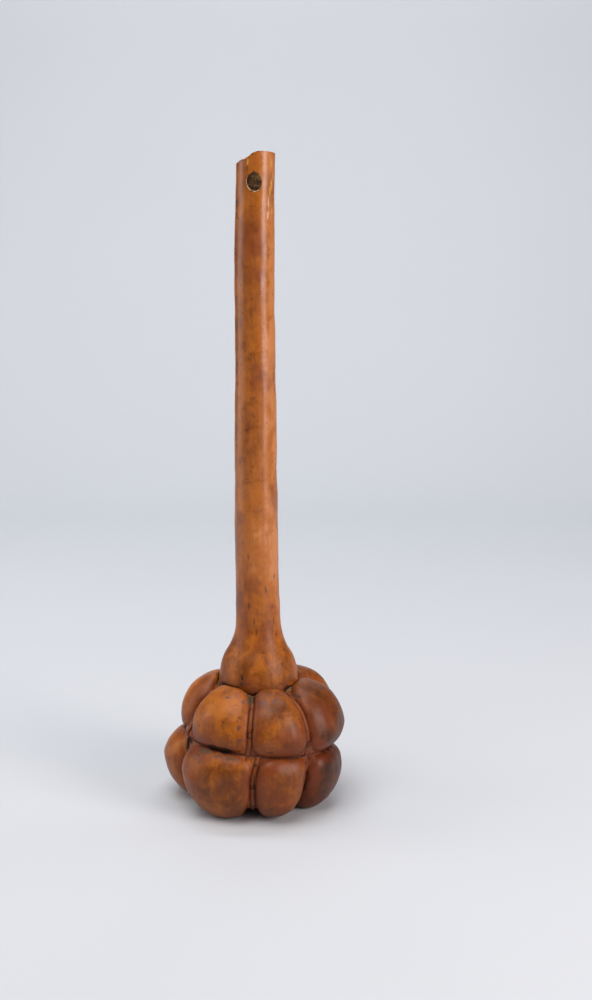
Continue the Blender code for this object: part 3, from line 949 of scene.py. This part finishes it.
# ---------------------------------------------------------------- hole
def hole_point(depth, degrees, outline):
    """A point of the cutter, from its front at depth 0 to its end at depth 1."""
    turn = math.radians(degrees)
    radius = float(np.interp(degrees, outline[:, 0], outline[:, 1]))
    chipped = max(0.0, math.cos(math.radians(degrees - HOLE_CHIPPED))) ** 0.5
    skin = math.sqrt(HOLE_SKIN_RADIUS**2 - (radius * math.cos(turn)) ** 2)
    y = HOLE_LENGTH * depth + HOLE_FRONT
    flaked = chipped * (1 - smoothstep(0.0, HOLE_FLAKE[1], y + skin))
    ragged = noise.noise(Vector((math.cos(turn), math.sin(turn), depth)) * HOLE_RAGGED[1])
    radius += HOLE_FLARE * (1 - depth) + HOLE_FLAKE[0] * flaked
    radius += HOLE_RAGGED[0] * ragged
    x = HOLE_AT[0] + radius * math.cos(turn)
    z = HOLE_AT[1] + radius * math.sin(turn)
    return x + NECK_AT[0], y + NECK_AT[1], z


def hole_cutter():
    """A ragged plug through the front of the neck, flared where the skin is chipped away."""
    outline = smooth_curve(HOLE_OUTLINE)
    points = []
    for k in range(HOLE_RINGS):
        for i in range(HOLE_POINTS):
            points.append(hole_point(k / (HOLE_RINGS - 1), 360 * i / HOLE_POINTS, outline))
    last = (HOLE_RINGS - 1) * HOLE_POINTS
    faces = [tuple(range(HOLE_POINTS)), tuple(reversed(range(last, last + HOLE_POINTS)))]
    for start in range(0, last, HOLE_POINTS):
        for i in range(HOLE_POINTS):
            j = (i + 1) % HOLE_POINTS
            faces.append((start + j, start + i, start + HOLE_POINTS + i, start + HOLE_POINTS + j))
    mesh = bpy.data.meshes.new("hole_cutter")
    mesh.from_pydata(points, [], faces)
    mesh.polygons.foreach_set("material_index", [SLOTS["cut"]] * len(faces))
    return mesh


def cut_hole(gourd, looks):
    """Cuts the hanging hole into the gourd and keeps the result as its mesh."""
    cutter = bpy.data.objects.new("hole_cutter", hole_cutter())
    for material in looks:
        cutter.data.materials.append(material)
    bpy.context.scene.collection.objects.link(cutter)
    cut = gourd.modifiers.new("hanging_hole", "BOOLEAN")
    cut.object = cutter
    cut.operation = "DIFFERENCE"
    bpy.context.view_layer.update()
    evaluated = gourd.evaluated_get(bpy.context.evaluated_depsgraph_get())
    mesh = bpy.data.meshes.new_from_object(evaluated)
    gourd.modifiers.clear()
    gourd.data = mesh
    bpy.data.objects.remove(cutter)


def make_gourd():
    """The gourd, as the one piece that stands for the part's one node."""
    gourd = bpy.data.objects.new("gourd_rind", gourd_mesh())
    bpy.context.scene.collection.objects.link(gourd)
    looks = (rind_material(), inside_material(), cut_material())
    for material in looks:
        gourd.data.materials.append(material)
    cut_hole(gourd, looks)
    gourd.data.set_sharp_from_angle(angle=math.radians(SHARP_FROM))
    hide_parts("gourd")
    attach(gourd, "root")


# ---------------------------------------------------------------- studio
# Each light: name, place, what it points at, size, power in watts and colour.
LIGHTS = (
    ("overhead", (-0.5, -0.9, 2.5), (0.0, 0.0, 0.1), (1.7, 1.7), 46, (1.0, 0.985, 0.96)),
    ("soft_right", (1.45, -1.0, 0.85), (0.0, 0.0, 0.45), (0.8, 1.3), 30, (1.0, 0.89, 0.84)),
    ("soft_left", (-1.6, 0.05, 0.75), (0.0, 0.0, 0.35), (1.1, 1.4), 11, (1.0, 0.90, 0.85)),
    ("backdrop_wash", (0.0, 0.6, 2.8), (0.0, 2.1, 1.0), (2.4, 0.8), 46, (0.96, 0.98, 1.0)),
)
AIR_COLOUR = (0.90, 0.94, 1.0, 1)
AIR_STRENGTH = 0.11

# The paper sweep: half widths of its floor and wall, where the floor starts and ends, the radius and
# steps of the bend between them, and the wall's top.
FLOOR_HALF = 4.0
WALL_HALF = 1.05
FLOOR_START = -3.0
FLOOR_END = 1.2
BEND = 0.9
BEND_STEPS = 16
WALL_TOP = 4.0

CAMERA_AT = (0.0393, -1.3577, 0.5806)
CAMERA_DIP = 12.13  # degrees that it looks below level
LENS = 54.47
SENSOR = 36


def area_light(name, place, target, size, power, colour):
    """A rectangular light that points at its target."""
    data = bpy.data.lights.new(name, "AREA")
    data.shape = "RECTANGLE"
    data.size, data.size_y = size
    data.energy = power
    data.color = colour
    light = bpy.data.objects.new(name, data)
    light.location = place
    light.rotation_euler = (Vector(target) - Vector(place)).to_track_quat("-Z", "Y").to_euler()
    bpy.context.scene.collection.objects.link(light)


def backdrop():
    """A wide floor that curves up into a narrower wall behind the gourd."""
    profile = [(FLOOR_HALF, FLOOR_START, 0.0), (FLOOR_HALF, FLOOR_END, 0.0)]
    for k in range(1, BEND_STEPS + 1):
        turn = math.radians(90 * k / BEND_STEPS)
        profile.append((WALL_HALF, FLOOR_END + BEND * math.sin(turn), BEND * (1 - math.cos(turn))))
    profile.append((WALL_HALF, FLOOR_END + BEND, WALL_TOP))
    points = [(side * half, y, z) for half, y, z in profile for side in (-1, 1)]
    faces = [(2 * k, 2 * k + 1, 2 * k + 3, 2 * k + 2) for k in range(len(profile) - 1)]
    mesh = bpy.data.meshes.new("studio_sweep")
    mesh.from_pydata(points, [], faces)
    mesh.shade_smooth()
    sweep = bpy.data.objects.new("studio_sweep", mesh)
    sweep.data.materials.append(paper_material())
    bpy.context.scene.collection.objects.link(sweep)


def camera():
    data = bpy.data.cameras.new("camera")
    data.lens = LENS
    data.sensor_width = SENSOR
    eye = bpy.data.objects.new("camera", data)
    eye.location = CAMERA_AT
    eye.rotation_euler = (math.radians(90 - CAMERA_DIP), 0, 0)
    bpy.context.scene.collection.objects.link(eye)
    bpy.context.scene.camera = eye


def studio():
    """Dim air and the soft lights."""
    world = bpy.data.worlds.new("studio_air")
    bpy.context.scene.world = world
    world.use_nodes = True
    air = world.node_tree.nodes["Background"]
    air.inputs["Color"].default_value = AIR_COLOUR
    air.inputs["Strength"].default_value = AIR_STRENGTH
    for light in LIGHTS:
        area_light(*light)


bpy.context.scene.view_settings.view_transform = "Standard"
camera()
backdrop()
studio()
make_gourd()
